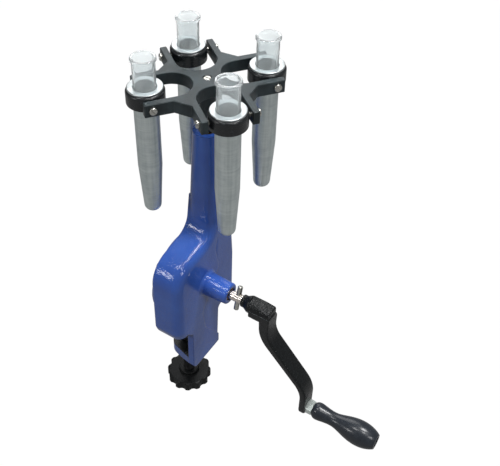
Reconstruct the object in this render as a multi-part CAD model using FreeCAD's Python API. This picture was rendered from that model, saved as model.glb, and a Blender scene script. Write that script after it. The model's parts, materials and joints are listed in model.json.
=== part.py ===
import FreeCAD, Part
import math
import os

# Hand crank bench centrifuge: four swing-out buckets on a vertical spindle.
# Millimetres, +Z up. The origin is on the clamp's upper jaw face, under the spindle axis.
# +X is the crank's axis, pointing away from the bench. -X is where the clamp opens.

V = FreeCAD.Vector
X_AXIS = V(1, 0, 0)
Y_AXIS = V(0, 1, 0)
Z_AXIS = V(0, 0, 1)

# Clearances
RUNNING_FIT = 0.05
SEAT_FIT = 0.04
SIDE_GAP = 0.3
CUT_OVER = 1.0

# Gear drive: a four start worm on the spindle, driven by a wheel on the crank shaft
WORM_STARTS = 4
WHEEL_TEETH = 32
WORM_PITCH_RADIUS = 6.0
WHEEL_PITCH_RADIUS = 17.0
GEAR_TOOTH_SHARE = 0.42
WHEEL_WIDTH = 9.0
WORM_LENGTH = 20.0
AXIS_DISTANCE = WORM_PITCH_RADIUS + WHEEL_PITCH_RADIUS
GEAR_MODULE = 2.0 * WHEEL_PITCH_RADIUS / WHEEL_TEETH
WORM_LEAD = WORM_STARTS * math.pi * GEAR_MODULE

# Gear case, centred on the crank axis
CRANK_Y = -AXIS_DISTANCE
CRANK_Z = 46.0
CASE_HALF = 13.5
CASE_FRONT = 41.0
CASE_BACK = 40.0
CASE_TOP = 39.0
CASE_EDGE_ROUND = 8.5
CASE_COVER_EDGE_ROUND = 2.5
CAVITY_RADIUS = 34.0
CASE_WALL = 5.0

# Column
COLUMN_TOP_Z = 187.0
COLUMN_TOP_RADIUS = 11.5
COLUMN_WAIST_Z = 108.0
COLUMN_WAIST_HALF_X = 14.0
COLUMN_WAIST_FRONT = 13.0
COLUMN_WAIST_BACK = 17.5
COLUMN_WAIST_CORNER = 9.0
COLUMN_FOOT_HALF_X = 12.0
COLUMN_FOOT_FRONT = 8.0
COLUMN_FOOT_BACK = 21.5
COLUMN_FOOT_CORNER = 3.0
COLUMN_BORE_RADIUS = 8.0

# Crank boss on the case
BOSS_ROOT_RADIUS = 10.6
BOSS_END_RADIUS = 9.3
BOSS_LENGTH = 24.0

# Clamp frame under the case
SPINE_THICKNESS = 6.0
SPINE_FRONT = -45.0
SPINE_BACK = -4.5
THROAT_HEIGHT = 39.5
LUG_THICKNESS = 10.0
LUG_CORNER_ROUND = 6.0
LUG_BACK_ROUND = 1.0
JAW_ROOT_Z = 8.0
CLAMP_X = -7.5
CLAMP_Y = -24.5
LUG_NOSE_RADIUS = 11.8

# Clamp screw, pad and knob
CLAMP_SCREW_RADIUS = 5.0
PAD_RADIUS = 9.5
PAD_THICKNESS = 5.0
PAD_TOP_Z = -29.0
KNOB_TOP_Z = -82.5
KNOB_HUB_RADIUS = 9.5
KNOB_HUB_HEIGHT = 3.0
KNOB_THICKNESS = 10.0
KNOB_RADIUS = 20.8
KNOB_LOBES = 12
KNOB_SCALLOP_DEPTH = 2.7

# Spindle and its bearings
SPINDLE_RADIUS = 4.0
SPINDLE_FOOT_RADIUS = 3.4
SPINDLE_FOOT_Z = 8.0
BUSH_RADIUS = 7.0
TOP_BUSH_LENGTH = 17.0
FOOT_BUSH_Z = 6.0
FOOT_BUSH_LENGTH = 12.0
BALL_RADIUS = 2.5

# Crank shaft and its bearings
SHAFT_RADIUS = 4.0
SHAFT_SEAT_RADIUS = 3.0
BUSH_RECESS = 1.0
CRANK_BUSH_RADIUS = 6.0
COVER_BUSH_RADIUS = 5.5
COVER_RADIUS = 38.0
COVER_THICKNESS = 3.0
COVER_BOSS_RADIUS = 9.0
COVER_BOSS_OUT = 4.0
COVER_BOSS_IN = 4.5
COVER_SCREW_CIRCLE = 35.8
COVER_SCREWS = 4
COVER_SCREW_RADIUS = 1.2
COVER_SCREW_LENGTH = 9.0
COVER_SCREW_HEAD_RADIUS = 2.4
COVER_SCREW_HEAD_HEIGHT = 1.5
WHEEL_HUB_RADIUS = 8.0

# Crank
PIN_X = 45.0
PIN_RADIUS = 2.2
PIN_LENGTH = 23.0
PIN_LEAN = 16.0
HUB_START_X = 49.5
HUB_RADIUS = 5.4
BLOCK_START_X = 57.5
BLOCK_END_X = 78.0
BLOCK_RADIUS = 7.6
BLOCK_BACK_HALF = 5.4
BLOCK_TOP_START = 6.9
BLOCK_TOP_END = 4.3
GRUB_X = 62.5
GRUB_RADIUS = 2.0
GRUB_LENGTH = 3.6
ARM_WIDTH = 16.0
ARM_TOP_X = 74.0
ARM_OFFSET = 42.0
ARM_TOP_THICKNESS = 8.0
ARM_END_THICKNESS = 5.8
ARM_SLOPE = 43.0
ARM_MID_DROP = 47.5
ARM_BEND_RADIUS = 26.0
CRANK_RADIUS = 94.0

# Handle
HANDLE_BOLT_RADIUS = 3.0
NUT_ACROSS_FLATS = 11.0
NUT_THICKNESS = 5.8
GRIP_LENGTH = 58.5
GRIP_COLLAR_RADIUS = 7.6
GRIP_NECK_RADIUS = 6.3
GRIP_BELLY_RADIUS = 11.0
GRIP_END_RADIUS = 6.6
BOLT_HEAD_RADIUS = 4.4
BOLT_HEAD_HEIGHT = 3.0

# Rotor head
ROTOR_TOP_Z = 232.0
ROTOR_THICKNESS = 10.0
BUCKETS = 4
FIRST_BAY_DEG = 52.0
RING_CIRCLE = 46.0
PRONG_END = 52.0
BAY_HALF_WIDTH = 15.8
PRONG_WIDTH = 5.3
PRONG_CORNER = 0.6
BAY_APEX = 11.5
NOTCH_REACH = 30.9
ROTOR_HUB_RADIUS = 6.4
ROTOR_HUB_GAP = 1.2

# Trunnion ring, bucket, tube
RING_RADIUS = 14.3
RING_HEIGHT = 11.6
PIVOT_RADIUS = 1.8
PIVOT_DEPTH = 3.2
PIVOT_HEAD_RADIUS = 3.0
PIVOT_HEAD_HEIGHT = 2.2
BUCKET_WALL = 0.75
BUCKET_RING_FIT = 0.12
BUCKET_RIM_RADIUS = 13.2
BUCKET_RIM_HEIGHT = 1.5
BUCKET_LENGTH = 114.0
BUCKET_TIP_RADIUS = 6.6
TUBE_RADIUS = 8.4
TUBE_WALL = 1.1
TUBE_LIP_RADIUS = 9.45
TUBE_LENGTH = 118.0
TUBE_GAP = 0.2
CUSHION_FLOOR = 18.15
TUBE_CONE_LENGTH = 26.0
TUBE_TIP_RADIUS = 3.0
TUBE_LIFT_CLEARANCE = 0.2

os.makedirs("parts", exist_ok=True)


def save(name, shape):
    """Write one sub-part."""
    shape.exportStep("parts/" + name + ".step")


def rod(radius, start, end, axis=Z_AXIS, centre=V(0, 0, 0)):
    """A cylinder from start to end along an axis through a centre."""
    return Part.makeCylinder(radius, end - start, centre + axis * start, axis)


def tapered_rod(radius_a, radius_b, start, end, axis=Z_AXIS, centre=V(0, 0, 0)):
    """A cone frustum from start to end along an axis through a centre."""
    return Part.makeCone(radius_a, radius_b, end - start, centre + axis * start, axis)


def tube(outer, inner, start, end, axis=Z_AXIS, centre=V(0, 0, 0)):
    """A plain sleeve."""
    bore = rod(inner, start - CUT_OVER, end + CUT_OVER, axis, centre)
    return rod(outer, start, end, axis, centre).cut(bore)


def rounded_outline(corners, place):
    """A closed wire of lines and tangent arcs from (u, v, radius) corners."""
    count = len(corners)
    points = [V(c[0], c[1], 0) for c in corners]
    edges = []
    joints = []
    for i in range(count):
        here = points[i]
        back = (points[i - 1] - here).normalize()
        ahead = (points[(i + 1) % count] - here).normalize()
        radius = corners[i][2]
        if radius <= 0:
            joints.append((here, here, here))
            continue
        half = back.getAngle(ahead) / 2.0
        run = radius / math.tan(half)
        bisector = (back + ahead).normalize()
        middle = here + bisector * (radius / math.sin(half) - radius)
        joints.append((here + back * run, middle, here + ahead * run))
    for i in range(count):
        start, middle, end = joints[i]
        if (start - end).Length > 1e-6:
            edges.append(Part.Arc(place(start), place(middle), place(end)).toShape())
        following = joints[(i + 1) % count][0]
        if (following - end).Length > 1e-6:
            edges.append(Part.LineSegment(place(end), place(following)).toShape())
    return Part.Wire(Part.__sortEdges__(edges))


def prism_x(corners, start, end):
    """A (y, z) outline extruded along X."""
    wire = rounded_outline(corners, lambda p: V(start, p.x, p.y))
    return Part.Face(wire).extrude(V(end - start, 0, 0))


def prism_y(corners, start, end):
    """An (x, z) outline extruded along Y."""
    wire = rounded_outline(corners, lambda p: V(p.x, start, p.y))
    return Part.Face(wire).extrude(V(0, end - start, 0))


def prism_z(corners, start, end):
    """An (x, y) outline extruded along Z."""
    wire = rounded_outline(corners, lambda p: V(p.x, p.y, start))
    return Part.Face(wire).extrude(V(0, 0, end - start))


def turned(points, axis=Z_AXIS, centre=V(0, 0, 0)):
    """A solid of revolution from (radius, height, corner radius) points, turned about an axis."""
    wire = rounded_outline(points, lambda p: V(p.x, 0, p.y))
    solid = Part.Face(wire).revolve(V(0, 0, 0), Z_AXIS, 360)
    solid.Placement = FreeCAD.Placement(centre, FreeCAD.Rotation(Z_AXIS, axis))
    return solid


def twisted(wire, lead, length):
    """A section swept up Z while it turns once in each lead, right-handed."""
    path = Part.makeHelix(lead, length, 10.0)
    pipe = Part.BRepOffsetAPI.MakePipeShell(path)
    pipe.setFrenetMode(True)
    pipe.add(wire, False, False)
    pipe.build()
    faces = pipe.shape().Faces
    faces.append(Part.Face(wire))
    faces.append(Part.Face(pipe.lastShape()))
    return Part.makeSolid(Part.makeShell(faces))


def polar(radius, degrees, height=0.0):
    """A point on a circle about the Z axis."""
    angle = math.radians(degrees)
    return V(radius * math.cos(angle), radius * math.sin(angle), height)


def toothed_outline(count, tip, root, tip_share, root_share):
    """A wire of alternating tip and root arcs. A tooth is centred on the X axis."""
    step = 360.0 / count
    tip_half = step * tip_share / 2.0
    root_half = step * root_share / 2.0
    edges = []
    for i in range(count):
        at = i * step
        rise = polar(tip, at - tip_half)
        fall = polar(tip, at + tip_half)
        foot = polar(root, at + root_half)
        next_foot = polar(root, at + step - root_half)
        edges.append(Part.Arc(rise, polar(tip, at), fall).toShape())
        edges.append(Part.LineSegment(fall, foot).toShape())
        edges.append(Part.Arc(foot, polar(root, at + step / 2.0), next_foot).toShape())
        edges.append(Part.LineSegment(next_foot, polar(tip, at + step - tip_half)).toShape())
    return Part.Wire(edges)


# Derived places
BAY_CENTRE = BAY_APEX + BAY_HALF_WIDTH
BAY_ANGLES = [FIRST_BAY_DEG + 360.0 * i / BUCKETS for i in range(BUCKETS)]
PRONG_OUTER = BAY_HALF_WIDTH + PRONG_WIDTH
ROTOR_UNDER_Z = ROTOR_TOP_Z - ROTOR_THICKNESS
PIVOT_Z = ROTOR_TOP_Z - ROTOR_THICKNESS / 2.0
RING_TOP_Z = PIVOT_Z + RING_HEIGHT / 2.0
RIM_TOP_Z = RING_TOP_Z + BUCKET_RIM_HEIGHT
BUCKET_RADIUS = TUBE_RADIUS + TUBE_GAP + BUCKET_WALL
BUCKET_FOOT_Z = RIM_TOP_Z - BUCKET_LENGTH
TUBE_TIP_Z = BUCKET_FOOT_Z + BUCKET_WALL + CUSHION_FLOOR + SIDE_GAP
TUBE_CONE_Z = TUBE_TIP_Z + TUBE_CONE_LENGTH
TUBE_TOP_Z = TUBE_TIP_Z + TUBE_LENGTH
SPINE_INNER_X = CASE_HALF - SPINE_THICKNESS
STEP_Y = CRANK_Y - 2.0
LUG_TOP_Z = -THROAT_HEIGHT
LUG_UNDER_Z = LUG_TOP_Z - LUG_THICKNESS
CAVITY_END_X = CASE_HALF - CASE_WALL
BOSS_END_X = CASE_HALF + BOSS_LENGTH
CRANK_CENTRE = V(0, CRANK_Y, CRANK_Z)
CLAMP_CENTRE = V(CLAMP_X, CLAMP_Y, 0)
HANDLE_CENTRE = V(0, CRANK_Y, CRANK_Z - CRANK_RADIUS)
ARM_END_X = ARM_TOP_X + ARM_OFFSET
NUT_START_X = ARM_END_X + ARM_END_THICKNESS / 2.0
GRIP_START_X = NUT_START_X + NUT_THICKNESS + SIDE_GAP
GRIP_END_X = GRIP_START_X + GRIP_LENGTH
COVER_FACE_X = -CASE_HALF - COVER_THICKNESS
COVER_BOSS_FACE_X = COVER_FACE_X - COVER_BOSS_OUT
COVER_BOSS_INNER_X = -CASE_HALF + COVER_BOSS_IN
SHAFT_INNER_X = COVER_FACE_X - 0.5
SHAFT_OUTER_X = BLOCK_END_X - 3.0
BALL_Z = SPINDLE_FOOT_Z - RUNNING_FIT - BALL_RADIUS
FOOT_SHOULDER_Z = CRANK_Z - WORM_LENGTH / 2.0
WORM_TOP_Z = CRANK_Z + WORM_LENGTH / 2.0
SPINDLE_TOP_Z = ROTOR_TOP_Z - 4.5


def column_section(z, half_x, front, back, corner):
    """One rounded level of the column."""
    corners = [
        (-half_x, -front, corner),
        (half_x, -front, corner),
        (half_x, back, corner),
        (-half_x, back, corner),
    ]
    return rounded_outline(corners, lambda p: V(p.x, p.y, z))


def column():
    """The tapering column that carries the spindle, from the jaw up to the top bush."""
    round_top = COLUMN_TOP_RADIUS - 0.3
    sections = [
        column_section(0.0, COLUMN_FOOT_HALF_X, COLUMN_FOOT_FRONT, COLUMN_FOOT_BACK,
                       COLUMN_FOOT_CORNER),
        column_section(CRANK_Z, COLUMN_FOOT_HALF_X, COLUMN_FOOT_FRONT, COLUMN_FOOT_BACK,
                       COLUMN_FOOT_CORNER),
        column_section(COLUMN_WAIST_Z, COLUMN_WAIST_HALF_X, COLUMN_WAIST_FRONT,
                       COLUMN_WAIST_BACK, COLUMN_WAIST_CORNER),
        column_section(COLUMN_TOP_Z, COLUMN_TOP_RADIUS, COLUMN_TOP_RADIUS,
                       COLUMN_TOP_RADIUS, round_top),
    ]
    return Part.makeLoft(sections, True, True)


def gear_case():
    """The thick front of the case around the gear wheel, with its shoulder up to the column.

    Its rear edge is a soft step down to the thinner plate that runs on below the column.
    """
    front = CRANK_Y - CASE_FRONT
    top = CRANK_Z + CASE_TOP
    corners = [
        (front + 4.6, 0.0, 10.0),
        (front, 12.0, 10.0),
        (front, top - 2.5, 23.0),
        (-COLUMN_WAIST_FRONT - 1.5, top + 6.5, 15.0),
        (-COLUMN_WAIST_FRONT + 3.0, COLUMN_WAIST_Z + 14.0, 0.0),
        (0.0, COLUMN_WAIST_Z + 14.0, 0.0),
        (0.0, COLUMN_WAIST_Z - 6.0, 10.0),
        (-COLUMN_WAIST_FRONT + 3.0, CRANK_Z + 30.0, 20.0),
        (CRANK_Y + 19.0, CRANK_Z + 3.0, 12.0),
        (STEP_Y - 5.0, 14.0, 8.0),
        (STEP_Y - 2.0, 0.0, 0.0),
    ]
    case = prism_x(corners, -CASE_HALF, CASE_HALF)
    crank_rims = []
    cover_rims = []
    for edge in case.Edges:
        middle = edge.CenterOfMass
        outer = middle.y < CRANK_Y - 25.0 or middle.z > CRANK_Z + 34.0
        if middle.z < 1e-3 or middle.y > -COLUMN_WAIST_FRONT - 1.0 or not outer:
            continue
        if abs(middle.x - CASE_HALF) < 1e-3:
            crank_rims.append(edge)
        if abs(middle.x + CASE_HALF) < 1e-3:
            cover_rims.append(edge)
    case = case.makeFillet(CASE_EDGE_ROUND, crank_rims)
    cover_rims = [e for e in case.Edges for r in cover_rims
                  if (e.CenterOfMass - r.CenterOfMass).Length < 1e-3]
    case = case.makeFillet(CASE_COVER_EDGE_ROUND, cover_rims)
    plate = [
        (CRANK_Y - 25.0, 0.0, 0.0),
        (CRANK_Y - 25.0, CRANK_Z + 20.0, 0.0),
        (-COLUMN_WAIST_FRONT - 1.0, CRANK_Z + CASE_TOP - 5.0, 0.0),
        (-COLUMN_WAIST_FRONT + 5.0, COLUMN_WAIST_Z - 4.0, 0.0),
        (COLUMN_WAIST_BACK - 4.5, COLUMN_WAIST_Z - 4.0, 0.0),
        (COLUMN_FOOT_BACK - 3.0, 0.0, 0.0),
    ]
    return case.fuse(prism_x(plate, -CASE_HALF, COLUMN_FOOT_HALF_X))


def clamp_frame():
    """The flat spine that drops from the case and the lug that carries the clamp screw."""
    front = [
        (SPINE_FRONT, LUG_UNDER_Z, LUG_CORNER_ROUND),
        (SPINE_FRONT, -1.0, 5.0),
        (SPINE_FRONT - 9.0, JAW_ROOT_Z, 0.0),
    ]
    thick = front + [
        (STEP_Y - 4.0, JAW_ROOT_Z, 0.0),
        (STEP_Y, -11.0, 15.0),
        (SPINE_BACK, LUG_TOP_Z, 0.0),
        (SPINE_BACK, LUG_UNDER_Z, LUG_BACK_ROUND),
    ]
    thin = front + [
        (COLUMN_FOOT_BACK - 4.0, JAW_ROOT_Z, 0.0),
        (COLUMN_FOOT_BACK - 4.0, -3.0, 4.0),
        (SPINE_BACK + 1.5, -3.0, 5.0),
        (SPINE_BACK, LUG_UNDER_Z, LUG_BACK_ROUND),
    ]
    spine = prism_x(thin, SPINE_INNER_X, COLUMN_FOOT_HALF_X)
    spine = spine.fuse(prism_x(thick, SPINE_INNER_X, CASE_HALF))
    section = [
        (COLUMN_FOOT_HALF_X, JAW_ROOT_Z, 0.0),
        (COLUMN_FOOT_HALF_X, LUG_UNDER_Z, 0.0),
        (CLAMP_X - LUG_NOSE_RADIUS, LUG_UNDER_Z, 0.0),
        (CLAMP_X - LUG_NOSE_RADIUS, LUG_TOP_Z, 0.0),
        (SPINE_INNER_X, LUG_TOP_Z, 5.0),
        (SPINE_INNER_X, 0.0, 3.0),
        (CLAMP_X, 0.0, 0.0),
        (CLAMP_X, JAW_ROOT_Z, 0.0),
    ]
    hook = prism_y(section, SPINE_FRONT, SPINE_BACK)
    nose = LUG_NOSE_RADIUS - 0.1
    plan = [
        (COLUMN_FOOT_HALF_X, SPINE_FRONT, 0.0),
        (COLUMN_FOOT_HALF_X, SPINE_BACK, 2.0),
        (CLAMP_X - LUG_NOSE_RADIUS, CLAMP_Y + LUG_NOSE_RADIUS, nose),
        (CLAMP_X - LUG_NOSE_RADIUS, CLAMP_Y - LUG_NOSE_RADIUS, nose),
    ]
    hook = hook.common(prism_z(plan, LUG_UNDER_Z - CUT_OVER, JAW_ROOT_Z + CUT_OVER))
    side = [
        (SPINE_FRONT, LUG_UNDER_Z, LUG_CORNER_ROUND),
        (SPINE_FRONT, JAW_ROOT_Z, 0.0),
        (SPINE_BACK, JAW_ROOT_Z, 0.0),
        (SPINE_BACK, LUG_UNDER_Z, LUG_BACK_ROUND),
    ]
    hook = hook.common(prism_x(side, CLAMP_X - LUG_NOSE_RADIUS - CUT_OVER, COLUMN_FOOT_HALF_X))
    return spine.fuse(hook)


def cover_screw_places():
    """Centres of the cover screws on the case's rim."""
    places = []
    for i in range(COVER_SCREWS):
        angle = math.radians(45.0 + 360.0 * i / COVER_SCREWS)
        y = CRANK_Y + COVER_SCREW_CIRCLE * math.cos(angle)
        z = CRANK_Z + COVER_SCREW_CIRCLE * math.sin(angle)
        places.append(V(0, y, z))
    return places


def body_casting():
    """One enamelled iron casting: column, gear case, crank boss and clamp frame."""
    body = column().fuse(gear_case()).fuse(clamp_frame())
    boss = tapered_rod(BOSS_ROOT_RADIUS, BOSS_END_RADIUS, CAVITY_END_X, BOSS_END_X,
                       X_AXIS, CRANK_CENTRE)
    end_edge = [e for e in boss.Edges if abs(e.CenterOfMass.x - BOSS_END_X) < 1e-3]
    body = body.fuse(boss.makeFillet(1.5, end_edge))
    body = body.removeSplitter()
    cuts = [
        rod(CAVITY_RADIUS, -CASE_HALF - CUT_OVER, CAVITY_END_X, X_AXIS, CRANK_CENTRE),
        rod(COLUMN_BORE_RADIUS, CRANK_Z, COLUMN_TOP_Z - TOP_BUSH_LENGTH),
        rod(BUSH_RADIUS + SEAT_FIT, CRANK_Z, COLUMN_TOP_Z + CUT_OVER),
        rod(BUSH_RADIUS + SEAT_FIT, FOOT_BUSH_Z, CRANK_Z),
        rod(BALL_RADIUS + SEAT_FIT, BALL_Z - BALL_RADIUS - RUNNING_FIT, FOOT_BUSH_Z + CUT_OVER),
        rod(CRANK_BUSH_RADIUS + SEAT_FIT, CAVITY_END_X - CUT_OVER, BOSS_END_X + CUT_OVER,
            X_AXIS, CRANK_CENTRE),
        rod(CLAMP_SCREW_RADIUS + RUNNING_FIT, LUG_UNDER_Z - CUT_OVER, LUG_TOP_Z + CUT_OVER,
            Z_AXIS, CLAMP_CENTRE),
    ]
    for place in cover_screw_places():
        cuts.append(rod(COVER_SCREW_RADIUS + SEAT_FIT, -CASE_HALF - CUT_OVER,
                        COVER_FACE_X + COVER_SCREW_LENGTH + CUT_OVER, X_AXIS, place))
    for cut in cuts:
        body = body.cut(cut)
    return body


def gear_cover():
    """The turned cover that closes the case and carries the crank shaft's inner end."""
    cover = rod(COVER_RADIUS, COVER_FACE_X, -CASE_HALF, X_AXIS, CRANK_CENTRE)
    rim = [e for e in cover.Edges if abs(e.CenterOfMass.x - COVER_FACE_X) < 1e-3]
    cover = cover.makeFillet(1.2, rim)
    spigot = rod(CAVITY_RADIUS - SEAT_FIT, -CASE_HALF, -CASE_HALF + 1.5, X_AXIS, CRANK_CENTRE)
    boss = rod(COVER_BOSS_RADIUS, COVER_BOSS_FACE_X, COVER_BOSS_INNER_X, X_AXIS, CRANK_CENTRE)
    edge = [e for e in boss.Edges if abs(e.CenterOfMass.x - COVER_BOSS_FACE_X) < 1e-3]
    cover = cover.fuse(spigot).fuse(boss.makeFillet(1.5, edge))
    pocket = rod(COVER_BUSH_RADIUS + SEAT_FIT, SHAFT_INNER_X - 1.0,
                 COVER_BOSS_INNER_X + CUT_OVER, X_AXIS, CRANK_CENTRE)
    cover = cover.cut(pocket)
    for place in cover_screw_places():
        cover = cover.cut(rod(COVER_SCREW_RADIUS + SEAT_FIT, COVER_FACE_X - CUT_OVER,
                              CUT_OVER, X_AXIS, place))
    return cover


def slotted_screw(shank_radius, shank_length, head_radius, head_height, tip_radius=None,
                  tip_length=0.0):
    """A slotted pan head screw along Z, with its head's seat at z = 0 and its shank below."""
    shank = rod(shank_radius, -shank_length, 0.0)
    if tip_radius:
        shank = shank.fuse(rod(tip_radius, -shank_length - tip_length, -shank_length))
    head = turned([
        (0.0, 0.0, 0.0),
        (head_radius, 0.0, 0.0),
        (head_radius, head_height, 0.45 * head_height),
        (0.0, head_height, 0.0),
    ])
    slot = Part.makeBox(2 * head_radius + 2, 0.28 * head_radius, head_height,
                        V(-head_radius - 1, -0.14 * head_radius, 0.55 * head_height))
    return shank.fuse(head).cut(slot)


def aim(shape, direction, place):
    """Turn a piece made along Z to a direction and move it to its place."""
    shape.Placement = FreeCAD.Placement(place, FreeCAD.Rotation(Z_AXIS, direction))
    return shape


def cover_screws():
    """Four slotted screws through the cover into the case."""
    screws = []
    for place in cover_screw_places():
        screw = slotted_screw(COVER_SCREW_RADIUS, COVER_SCREW_LENGTH,
                              COVER_SCREW_HEAD_RADIUS, COVER_SCREW_HEAD_HEIGHT)
        screws.append(aim(screw, -X_AXIS, place + X_AXIS * COVER_FACE_X))
    return Part.makeCompound(screws)


def spindle():
    """The ground steel spindle, stepped down below the worm."""
    shaft = rod(SPINDLE_FOOT_RADIUS, SPINDLE_FOOT_Z, WORM_TOP_Z)
    shaft = shaft.fuse(rod(SPINDLE_RADIUS, WORM_TOP_Z, SPINDLE_TOP_Z))
    thread = rod(1.6 + SEAT_FIT, SPINDLE_TOP_Z - 10.0, SPINDLE_TOP_Z + CUT_OVER)
    return shaft.cut(thread)


def worm():
    """The four start worm. A gap faces the wheel at the crank's height."""
    lead_deg = 360.0 / WORM_LEAD
    axial_pitch = WORM_LEAD / WORM_STARTS
    tip = WORM_PITCH_RADIUS + 0.95 * GEAR_MODULE
    root = WORM_PITCH_RADIUS - 1.2 * GEAR_MODULE
    section = toothed_outline(WORM_STARTS, tip, root, GEAR_TOOTH_SHARE - 0.18,
                              GEAR_TOOTH_SHARE + 0.2)
    start_turn = -90.0 + 180.0 / WORM_STARTS - lead_deg * WORM_LENGTH / 2.0
    section.rotate(V(0, 0, 0), Z_AXIS, start_turn)
    thread = twisted(section, axial_pitch * WORM_STARTS, WORM_LENGTH)
    thread.translate(V(0, 0, FOOT_SHOULDER_Z))
    bore = rod(SPINDLE_FOOT_RADIUS + SEAT_FIT, FOOT_SHOULDER_Z - CUT_OVER,
               WORM_TOP_Z + CUT_OVER)
    return thread.cut(bore)


def worm_wheel():
    """The helical bronze wheel on the crank shaft. A tooth faces the worm."""
    tip = WHEEL_PITCH_RADIUS + 0.95 * GEAR_MODULE
    root = WHEEL_PITCH_RADIUS - 1.2 * GEAR_MODULE
    lead = 2.0 * math.pi * WHEEL_PITCH_RADIUS * (2.0 * math.pi * WORM_PITCH_RADIUS) / WORM_LEAD
    section = toothed_outline(WHEEL_TEETH, tip, root, GEAR_TOOTH_SHARE - 0.18,
                              GEAR_TOOTH_SHARE + 0.2)
    section.rotate(V(0, 0, 0), Z_AXIS, 90.0 - 180.0 * WHEEL_WIDTH / lead)
    wheel = twisted(section, lead, WHEEL_WIDTH)
    wheel = aim(wheel, X_AXIS, CRANK_CENTRE - X_AXIS * (WHEEL_WIDTH / 2.0))
    hub_start = COVER_BOSS_INNER_X + SIDE_GAP
    hub_end = CAVITY_END_X - SIDE_GAP
    wheel = wheel.fuse(rod(WHEEL_HUB_RADIUS, hub_start, hub_end, X_AXIS, CRANK_CENTRE))
    bore = rod(SHAFT_RADIUS + SEAT_FIT, hub_start - CUT_OVER, hub_end + CUT_OVER,
               X_AXIS, CRANK_CENTRE)
    wheel = wheel.cut(bore)
    return wheel.cut(wheel_pin_rod(SEAT_FIT, 12.0))


def wheel_pin_rod(extra, half_length):
    """The rod of the pin that ties the wheel's hub to the crank shaft."""
    centre = V(CAVITY_END_X - SIDE_GAP - 2.2, CRANK_Y, CRANK_Z)
    return rod(1.2 + extra, -half_length, half_length, Z_AXIS, centre)


def crank_shaft():
    """The bright crank shaft, with a thinner seat for the crank and two cross drilled holes."""
    shaft = rod(SHAFT_RADIUS, SHAFT_INNER_X, HUB_START_X - SIDE_GAP, X_AXIS, CRANK_CENTRE)
    seat = rod(SHAFT_SEAT_RADIUS, SHAFT_INNER_X, SHAFT_OUTER_X, X_AXIS, CRANK_CENTRE)
    shaft = shaft.fuse(seat).removeSplitter()
    shaft = shaft.cut(wheel_pin_rod(SEAT_FIT, 12.0))
    return shaft.cut(cross_pin_rod(PIN_RADIUS + SEAT_FIT))


def cross_pin_rod(radius):
    """A rod through the crank shaft, leaning a little from the vertical."""
    lean = math.radians(PIN_LEAN)
    direction = V(0, math.sin(lean), math.cos(lean))
    centre = V(PIN_X, CRANK_Y, CRANK_Z)
    return rod(radius, -PIN_LENGTH / 2.0, PIN_LENGTH / 2.0, direction, centre)


def cross_pin():
    """The round ended pin between the boss and the crank's hub."""
    pin = cross_pin_rod(PIN_RADIUS)
    ends = [e for e in pin.Edges if e.Curve.TypeId == "Part::GeomCircle"]
    return pin.makeFillet(0.8, ends)


def arm_section():
    """The gooseneck seen from the side: down, out and down again."""
    bend = math.tan(math.radians(ARM_SLOPE) / 2.0)
    knee_z = CRANK_Z - ARM_MID_DROP + ARM_OFFSET / 2.0 / math.tan(math.radians(ARM_SLOPE))
    ankle_z = CRANK_Z - ARM_MID_DROP - ARM_OFFSET / 2.0 / math.tan(math.radians(ARM_SLOPE))
    top = ARM_TOP_THICKNESS / 2.0
    end = ARM_END_THICKNESS / 2.0
    foot_z = HANDLE_CENTRE.z - ARM_WIDTH / 2.0
    return [
        (ARM_TOP_X + top + 1.0, CRANK_Z, 0.0),
        (ARM_TOP_X + top, knee_z + bend * top, ARM_BEND_RADIUS - top),
        (ARM_END_X + end, ankle_z + bend * end, ARM_BEND_RADIUS + end),
        (ARM_END_X + end, foot_z, 0.0),
        (ARM_END_X - end, foot_z, 0.0),
        (ARM_END_X - end, ankle_z - bend * end, ARM_BEND_RADIUS - end),
        (ARM_TOP_X - top, knee_z - bend * top, ARM_BEND_RADIUS + top),
        (ARM_TOP_X - top - 1.0, CRANK_Z, 0.0),
    ]


def crank_arm():
    """The cast crank: hub and block under one flat top, and gooseneck arm, in one piece."""
    half = ARM_WIDTH / 2.0
    low_y = CRANK_Y - half
    arm = prism_y(arm_section(), low_y, CRANK_Y + half)
    foot_z = HANDLE_CENTRE.z
    front = [
        (low_y, CRANK_Z, 0.0),
        (low_y, foot_z - half, half - 0.05),
        (CRANK_Y + half, foot_z - half, half - 0.05),
        (CRANK_Y + half, CRANK_Z, half - 0.5),
    ]
    arm = arm.common(prism_x(front, BLOCK_START_X, ARM_END_X + ARM_END_THICKNESS))
    long_edges = []
    for edge in arm.Edges:
        middle = edge.CenterOfMass
        if abs(abs(middle.y - CRANK_Y) - half) < 0.5 and middle.z < CRANK_Z - 1.0:
            long_edges.append(edge)
    arm = arm.makeFillet(1.6, long_edges)
    hole = rod(HANDLE_BOLT_RADIUS + SEAT_FIT, BLOCK_END_X, ARM_END_X + 10.0,
               X_AXIS, HANDLE_CENTRE)
    crank = crank_head(low_y).fuse(arm).cut(hole)
    bore = rod(SHAFT_SEAT_RADIUS + SEAT_FIT, HUB_START_X - CUT_OVER, SHAFT_OUTER_X + SEAT_FIT,
               X_AXIS, CRANK_CENTRE)
    return crank.cut(bore).cut(grub_rod(GRUB_RADIUS + SEAT_FIT, GRUB_LENGTH + 3.0))


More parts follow.
